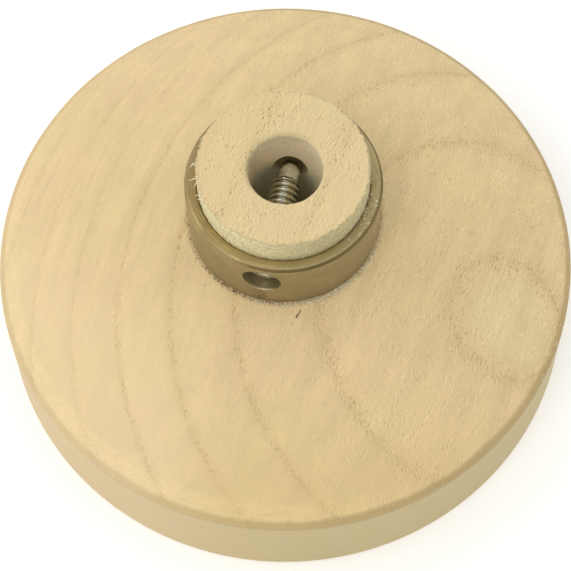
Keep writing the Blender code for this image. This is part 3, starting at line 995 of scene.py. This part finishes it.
def brass():
    """Aged brass with faint turning lines and tarnish, a scuffed front with a painted highlight, painted
    shade on the chamfer, and patches darker towards the foot.
    """
    p = Paint("aged_brass")
    around = p.tree.nodes.new("ShaderNodeCombineXYZ")
    p.feed(around.inputs[0], p.times(p.x, 1 / 5))
    p.feed(around.inputs[1], p.times(p.y, 1 / 5))
    p.feed(around.inputs[2], p.times(p.add(p.z, p.r), 1 / 0.35))
    lines = p.noise(around.outputs[0], 3.0, 0.65)
    tarnish = p.noise(p.blobs(4.5), 4.0, 0.6)
    speck = p.noise(p.blobs(0.5), 2.0, 0.6)
    top = p.ramp(p.z, COLLAR_TOP - 0.25, COLLAR_TOP - 0.15)
    chamfer = p.times(p.band(p.z, COLLAR_TOP - COLLAR_CHAMFER - 0.05, COLLAR_TOP - 0.12, 0.08),
                      p.ramp(p.r, COLLAR_RADIUS - 0.75, COLLAR_RADIUS - 0.5))
    # Painted shade on the chamfer: dark on its +X side, milder on its -X side.
    left_chamfer_shade = p.times(chamfer, p.ramp(p.x, -15.0, -5.0, 1.0, 0.0))
    chamfer = p.times(chamfer, p.ramp(p.x, -15.0, -5.0))
    colour = p.mix(p.ramp(tarnish, 0.30, 0.70), (0.415, 0.345, 0.205), (0.365, 0.300, 0.160))
    top_tone = p.mix(p.ramp(p.x, -18.0, -8.0), (0.395, 0.295, 0.140), (0.475, 0.385, 0.195))
    colour = p.mix(top, colour, top_tone)
    colour = p.brighten(colour, p.ramp(lines, 0.25, 0.75, 0.92, 1.08))
    # Scuffed, smoother brass on the front-left, also painted golden and lighter there as a highlight.
    scuff_place = p.add(p.times(p.x, -0.8), p.times(p.y, -1.0))
    scuffs_and_sheen = p.times(p.ramp(scuff_place, 17.0, 23.0), p.ramp(lines, 0.50, 0.60))
    scuffs_and_sheen = p.times(scuffs_and_sheen, p.ramp(p.z, COLLAR_TOP - 2.6, COLLAR_TOP - 0.8))
    colour = p.mix(p.times(scuffs_and_sheen, 0.7), colour, (0.640, 0.520, 0.210))
    # Painted shade on the chamfer.
    colour = p.mix(p.times(chamfer, 0.9), colour, (0.205, 0.150, 0.055))
    colour = p.mix(p.times(left_chamfer_shade, 0.9), colour, (0.375, 0.280, 0.125))
    colour = p.mix(p.times(p.ramp(speck, 0.66, 0.74), 0.5), colour, (0.130, 0.090, 0.045))
    # Patches darker towards the foot.
    foot = p.times(p.ramp(p.z, COLLAR_FOOT + 1.6, COLLAR_FOOT), p.ramp(speck, 0.40, 0.60))
    colour = p.mix(p.times(foot, 0.5), colour, (0.180, 0.130, 0.070))
    height = p.add(p.times(lines, 0.6), p.times(tarnish, 0.8))
    rough = p.ramp(tarnish, 0.3, 0.7, 0.46, 0.60)
    rough = p.add(rough, p.times(scuffs_and_sheen, -0.12))
    return p.set(colour=colour, roughness=rough, metallic=1.0, normal=p.bump(height, 0.00003, 0.8))


def steel():
    """Oily steel, with painted shade in the thread's grooves and at the point."""
    p = Paint("dark_steel")
    oil = p.noise(p.blobs(2.2), 3.0, 0.6)
    grit = p.noise(p.blobs(0.35), 2.0, 0.6)
    along = p.add(p.times(p.x, INWARD.x), p.times(p.y, INWARD.y))
    threaded = p.band(along, SCREW_TIP - SCREW_LENGTH + 0.2, SCREW_TIP - DOG_LENGTH, 0.1)
    # Painted shade in the thread's grooves.
    groove_shade = p.ramp(p.from_screw_axis(), SCREW_ROOT + 0.05, SCREW_RADIUS - 0.15, 1.0, 0.0)
    groove_shade = p.times(groove_shade, threaded)
    colour = p.mix(p.ramp(oil, 0.35, 0.65), (0.920, 0.960, 0.910), (0.660, 0.680, 0.620))
    colour = p.mix(p.times(threaded, 0.6), colour, (0.800, 0.760, 0.590))
    colour = p.mix(p.times(groove_shade, 0.70), colour, (0.210, 0.205, 0.160))
    # Painted shade: the point darkens towards its end, where it goes into the far hole.
    tip = p.ramp(along, SCREW_TIP - 2.8, SCREW_TIP - 0.8, 0.0, 0.55)
    colour = p.mix(tip, colour, (0.330, 0.300, 0.210))
    colour = p.mix(p.times(p.ramp(grit, 0.62, 0.75), 0.6), colour, (0.140, 0.130, 0.090))
    rough = p.ramp(oil, 0.3, 0.7, 0.13, 0.24)
    return p.set(colour=colour, roughness=rough, metallic=1.0, normal=p.bump(grit, 0.00002, 0.6))


def loose_wood(name, light, dark):
    """Dust, fibres or dirt in two tones."""
    p = Paint(name)
    tone = p.noise(p.blobs(0.8), 2.0)
    colour = p.mix(p.ramp(tone, 0.4, 0.6), light, dark)
    return p.set(colour=colour, roughness=p.ramp(tone, 0.3, 0.7, 0.6, 0.8))


# ---------------------------------------------------------------- the model

wood = maple()
pale_fibre = loose_wood("pale_fibre", (0.950, 0.870, 0.640), (0.860, 0.740, 0.480))
dust = loose_wood("wood_dust", (0.880, 0.820, 0.600), (0.560, 0.430, 0.240))
dirt = loose_wood("dark_dirt", (0.210, 0.155, 0.080), (0.110, 0.080, 0.040))
rng = np.random.default_rng(5)

disc = add_object("wood_disc", wood_mesh(), wood, 38)
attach(disc, "disc")
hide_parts("disc_with_hub")

collar = add_object("brass_collar", collar_mesh(), brass(), 28)
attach(collar, "disc")
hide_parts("collar")

screw = add_object("dog_point_screw", screw_mesh(), steel(), 40)
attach(screw, "screw")
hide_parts("set_screw")

for name, bits, material in (
    ("torn_hub_fibres", torn_fibres(rng), pale_fibre),
    ("collar_foot_fuzz", base_fuzz(rng), pale_fibre),
    ("sawdust_on_collar", sawdust(rng), dust),
    ("crumbs_on_back", face_crumbs(rng), dust),
    ("dirt_at_collar_foot", foot_dirt(rng), dirt),
):
    piece = gather(name, bits, material)
    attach(piece, "disc")


# ---------------------------------------------------------------- floor, light and camera


def pale_floor():
    """A plain floor, 6 m across, just under the disc. It glows faintly so that it stays white."""
    size = 3.0
    mesh = bpy.data.meshes.new("floor")
    corners = [(-size, -size, 0), (size, -size, 0), (size, size, 0), (-size, size, 0)]
    mesh.from_pydata(corners, [], [(0, 1, 2, 3)])
    floor = bpy.data.objects.new("floor", mesh)
    floor.location.z = -0.0002
    bpy.context.scene.collection.objects.link(floor)
    material = bpy.data.materials.new("pale_floor")
    material.use_nodes = True
    shader = material.node_tree.nodes["Principled BSDF"]
    shader.inputs["Base Color"].default_value = (0.94, 0.94, 0.935, 1)
    shader.inputs["Roughness"].default_value = 0.9
    shader.inputs["Specular IOR Level"].default_value = 0.1
    shader.inputs["Emission Color"].default_value = (1, 1, 1, 1)
    shader.inputs["Emission Strength"].default_value = 0.25
    mesh.materials.append(material)


def soft_light(name, place, size, watts, colour):
    """A square panel that looks at the disc. Place and size are in metres."""
    data = bpy.data.lights.new(name, "AREA")
    data.shape = "SQUARE"
    data.size = size
    data.energy = watts
    data.color = colour
    lamp = bpy.data.objects.new(name, data)
    lamp.location = place
    aim = Vector((0, 0, 0.03)) - Vector(place)
    lamp.rotation_mode = "QUATERNION"
    lamp.rotation_quaternion = aim.to_track_quat("-Z", "Y")
    bpy.context.scene.collection.objects.link(lamp)


def studio_air():
    """An even surround that dims towards a high place on the -Y side, and looks plain white itself."""
    world = bpy.data.worlds.new("studio")
    bpy.context.scene.world = world
    world.use_nodes = True
    tree = world.node_tree
    back = tree.nodes["Background"]
    place = tree.nodes.new("ShaderNodeTexCoord")
    dot = tree.nodes.new("ShaderNodeVectorMath")
    dot.operation = "DOT_PRODUCT"
    tree.links.new(place.outputs["Generated"], dot.inputs[0])
    dot.inputs[1].default_value = (0.10, -0.90, 0.42)
    shade = tree.nodes.new("ShaderNodeMapRange")
    shade.interpolation_type = "SMOOTHSTEP"
    tree.links.new(dot.outputs["Value"], shade.inputs["Value"])
    shade.inputs["From Min"].default_value = 0.55
    shade.inputs["From Max"].default_value = 0.95
    shade.inputs["To Min"].default_value = 0.86
    shade.inputs["To Max"].default_value = 0.37
    path = tree.nodes.new("ShaderNodeLightPath")
    seen = tree.nodes.new("ShaderNodeMix")
    seen.data_type = "FLOAT"
    tree.links.new(path.outputs["Is Camera Ray"], seen.inputs[0])
    tree.links.new(shade.outputs[0], seen.inputs[2])
    seen.inputs[3].default_value = 0.98
    tree.links.new(seen.outputs[0], back.inputs["Strength"])
    back.inputs["Color"].default_value = (1.0, 1.0, 0.99, 1)


def camera():
    """Looks down from the -Y side at 67 degrees, 0.35 m from the frame's origin. Places are in metres."""
    place = Vector((0.0001, -0.13460, 0.31943))
    aim = Vector((0, -0.01534, 0.04))
    data = bpy.data.cameras.new("camera")
    data.sensor_width = 36
    data.lens = 93.9
    data.clip_start = 0.01
    data.clip_end = 20
    eye = bpy.data.objects.new("camera", data)
    eye.location = place
    eye.rotation_mode = "QUATERNION"
    roll = Matrix.Rotation(-0.0196, 4, "Z").to_quaternion()
    eye.rotation_quaternion = (aim - place).to_track_quat("-Z", "Y") @ roll
    bpy.context.scene.collection.objects.link(eye)
    bpy.context.scene.camera = eye


pale_floor()
soft_light("key", (-0.95, 0.15, 0.95), 0.8, 1.3, (1.0, 0.985, 0.95))
soft_light("fill", (-0.45, -0.75, 1.05), 0.7, 3.7, (1.0, 0.985, 0.95))
studio_air()
camera()
bpy.context.scene.view_settings.view_transform = "Standard"
